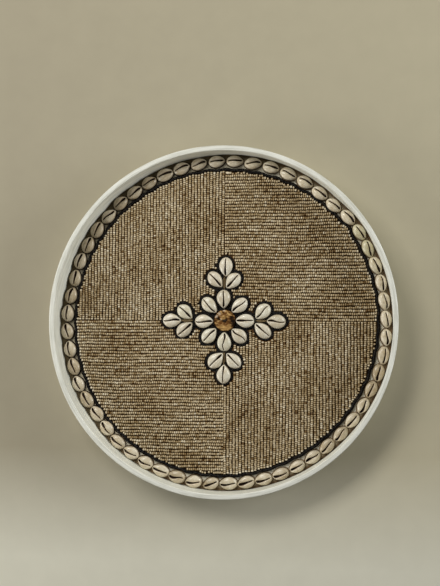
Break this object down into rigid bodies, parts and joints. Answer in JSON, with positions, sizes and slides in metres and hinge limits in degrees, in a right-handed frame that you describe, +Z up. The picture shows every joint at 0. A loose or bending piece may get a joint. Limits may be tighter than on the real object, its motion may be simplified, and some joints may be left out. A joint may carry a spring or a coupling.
{
  "type": "beaded decorative tray",
  "caption": "Round white-rimmed decorative tray with a sewn bead field, a cowrie shell border and a cowrie flower motif round a coconut button.",
  "frame": {"origin": "centre of the underside, on the plane the tray rests on", "axes": "+Z up out of the tray's well, +Y towards the top arm of the motif as the picture shows it, +X towards its right arm"},
  "size_m": [0.4, 0.4, 0.037],
  "materials": {
    "white_paint": "satin off-white paint brushed on a wooden hoop and board",
    "canvas": "plain-weave cotton backing cloth, matt",
    "gold_beads": "opaque glass seed beads in cream, tan, bronze and dark brown, glossy",
    "black_beads": "opaque black glass seed beads, glossy",
    "cowrie": "natural cowrie shell, pale cream, porcelain gloss",
    "coconut": "polished coconut shell, mottled brown, tan and gold",
    "sewing_thread": "waxed brown sewing thread"
  },
  "bodies": {
    "root": {"rim_hoop": "white_paint", "base_board": "white_paint", "backing_cloth": "canvas", "bead_panel_top_right": "gold_beads", "bead_panel_top_left": "gold_beads", "bead_panel_bottom_left": "gold_beads", "bead_panel_bottom_right": "gold_beads", "border_bead_ring": "black_beads", "motif_outline_beads": "black_beads", "petal_cowrie_1": "cowrie", "petal_cowrie_2": "cowrie", "petal_cowrie_3": "cowrie", "petal_cowrie_4": "cowrie", "petal_cowrie_5": "cowrie", "petal_cowrie_6": "cowrie", "petal_cowrie_7": "cowrie", "petal_cowrie_8": "cowrie", "right_arm_end_cowrie": "cowrie", "right_arm_side_a_cowrie": "cowrie", "right_arm_side_b_cowrie": "cowrie", "top_arm_end_cowrie": "cowrie", "top_arm_side_a_cowrie": "cowrie", "top_arm_side_b_cowrie": "cowrie", "left_arm_end_cowrie": "cowrie", "left_arm_side_a_cowrie": "cowrie", "left_arm_side_b_cowrie": "cowrie", "bottom_arm_end_cowrie": "cowrie", "bottom_arm_side_a_cowrie": "cowrie", "bottom_arm_side_b_cowrie": "cowrie", "coconut_button": "coconut", "button_thread": "sewing_thread", "rim_cowrie_string_01": "cowrie", "rim_cowrie_string_02": "cowrie", "rim_cowrie_string_03": "cowrie", "rim_cowrie_string_04": "cowrie", "rim_cowrie_string_05": "cowrie", "rim_cowrie_string_06": "cowrie", "rim_cowrie_string_07": "cowrie", "rim_cowrie_string_08": "cowrie", "rim_cowrie_string_09": "cowrie", "rim_cowrie_string_10": "cowrie", "rim_cowrie_string_11": "cowrie", "rim_cowrie_string_12": "cowrie", "rim_cowrie_string_13": "cowrie", "rim_cowrie_string_14": "cowrie"}
  },
  "joints": []
}
